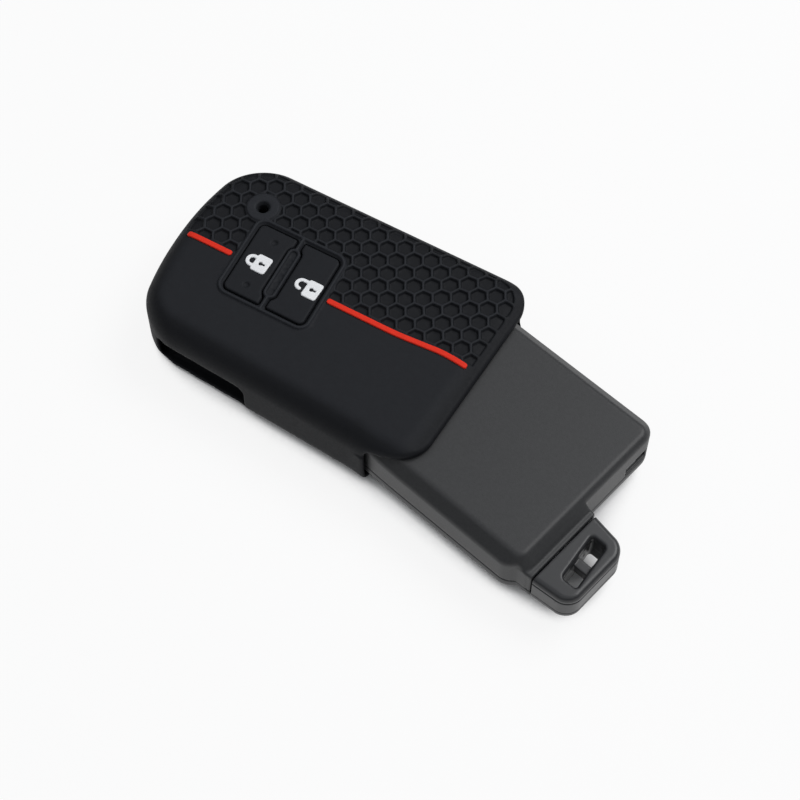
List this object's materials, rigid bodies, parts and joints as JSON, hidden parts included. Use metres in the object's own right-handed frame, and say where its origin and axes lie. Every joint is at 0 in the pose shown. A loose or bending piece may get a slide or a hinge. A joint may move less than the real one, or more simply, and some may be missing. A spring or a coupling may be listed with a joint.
{
  "type": "key fob cover",
  "caption": "Soft sleeve cover half drawn off a skewed key fob: padlock pads, honeycomb relief, red stripe, side window, and a fob with a pull-out emergency key.",
  "frame": {"origin": "middle of the cover's flat back face", "axes": "+X from the cover's closed head to its open mouth, +Y to the honeycomb side, +Z out of the front"},
  "size_m": [0.1176, 0.0596, 0.0186],
  "materials": {
    "cover_silicone": "matte",
    "pad_silicone": "matte",
    "icon_white": "satin",
    "stripe_red": "satin",
    "case_grey": "fine grain",
    "seal_rubber": "matte",
    "fob_key": "matte",
    "membrane_rubber": "matte",
    "board_green": "solder mask",
    "switch_steel": "satin",
    "chip_black": "matte",
    "coil_black": "matte",
    "led_red": "gloss",
    "pipe_clear": "clear",
    "cell_steel": "satin",
    "clip_metal": "satin",
    "key_plastic": "satin",
    "blade_steel": "brushed",
    "pin_steel": "satin",
    "latch_plastic": "satin",
    "spring_steel": "satin"
  },
  "bodies": {
    "cover": {"cover_shell": "cover_silicone", "red_stripe_head": "stripe_red", "red_stripe_mouth": "stripe_red"},
    "lock_pad_body": {"lock_pad": "pad_silicone", "lock_icon": "icon_white"},
    "unlock_pad_body": {"unlock_pad": "pad_silicone", "unlock_icon": "icon_white"},
    "cell": {"coin_cell": "cell_steel"},
    "fob": {"front_case": "case_grey", "rear_case": "case_grey", "case_seal": "seal_rubber", "button_membrane": "membrane_rubber", "circuit_board": "board_green", "tact_switches": "switch_steel", "controller_chip": "chip_black", "antenna_coil": "coil_black", "indicator_led": "led_red", "light_pipe": "pipe_clear", "cell_clip_plus": "clip_metal", "cell_clip_minus": "clip_metal", "latch_spring": "spring_steel"},
    "lock_key": {"fob_lock_button": "fob_key"},
    "unlock_key": {"fob_unlock_button": "fob_key"},
    "emergency_key": {"key_head": "key_plastic", "key_blade": "blade_steel", "key_pin": "pin_steel"},
    "latch": {"key_latch": "latch_plastic"}
  },
  "joints": [
    {"name": "lock_pad_press", "type": "slide", "parent": "cover", "child": "lock_pad_body", "axis": [0, 0, 1], "range_m": [-0.0006, 0], "stiffness_N_per_m": 1500},
    {"name": "unlock_pad_press", "type": "slide", "parent": "cover", "child": "unlock_pad_body", "axis": [0, 0, 1], "range_m": [-0.0006, 0], "stiffness_N_per_m": 1500},
    {"name": "fob_slide", "type": "slide", "parent": "cover", "child": "cell", "axis": [1, 0, 0], "range_m": [-0.0357, 0.039]},
    {"name": "fob_swing", "type": "hinge", "parent": "cell", "child": "fob", "pos_m": [0.0131, 0, 0.006], "axis": [0, 0, 1], "range_deg": [-14.3, 13]},
    {"name": "lock_key_press", "type": "slide", "parent": "fob", "child": "lock_key", "axis": [0, 0, 1], "range_m": [-0.0004, 0], "stiffness_N_per_m": 2500},
    {"name": "unlock_key_press", "type": "slide", "parent": "fob", "child": "unlock_key", "axis": [0, 0, 1], "range_m": [-0.0004, 0], "stiffness_N_per_m": 2500},
    {"name": "key_slide", "type": "slide", "parent": "fob", "child": "emergency_key", "axis": [0.9744, -0.225, 0], "range_m": [0, 0.045]},
    {"name": "latch_slide", "type": "slide", "parent": "fob", "child": "latch", "axis": [0.225, 0.9744, 0], "range_m": [0, 0.0025], "stiffness_N_per_m": 200, "deforming": ["latch_spring"]}
  ],
  "couplings": [
    {"joint": "fob_swing", "follows": "fob_slide", "rad_per_m": -6.3555}
  ]
}
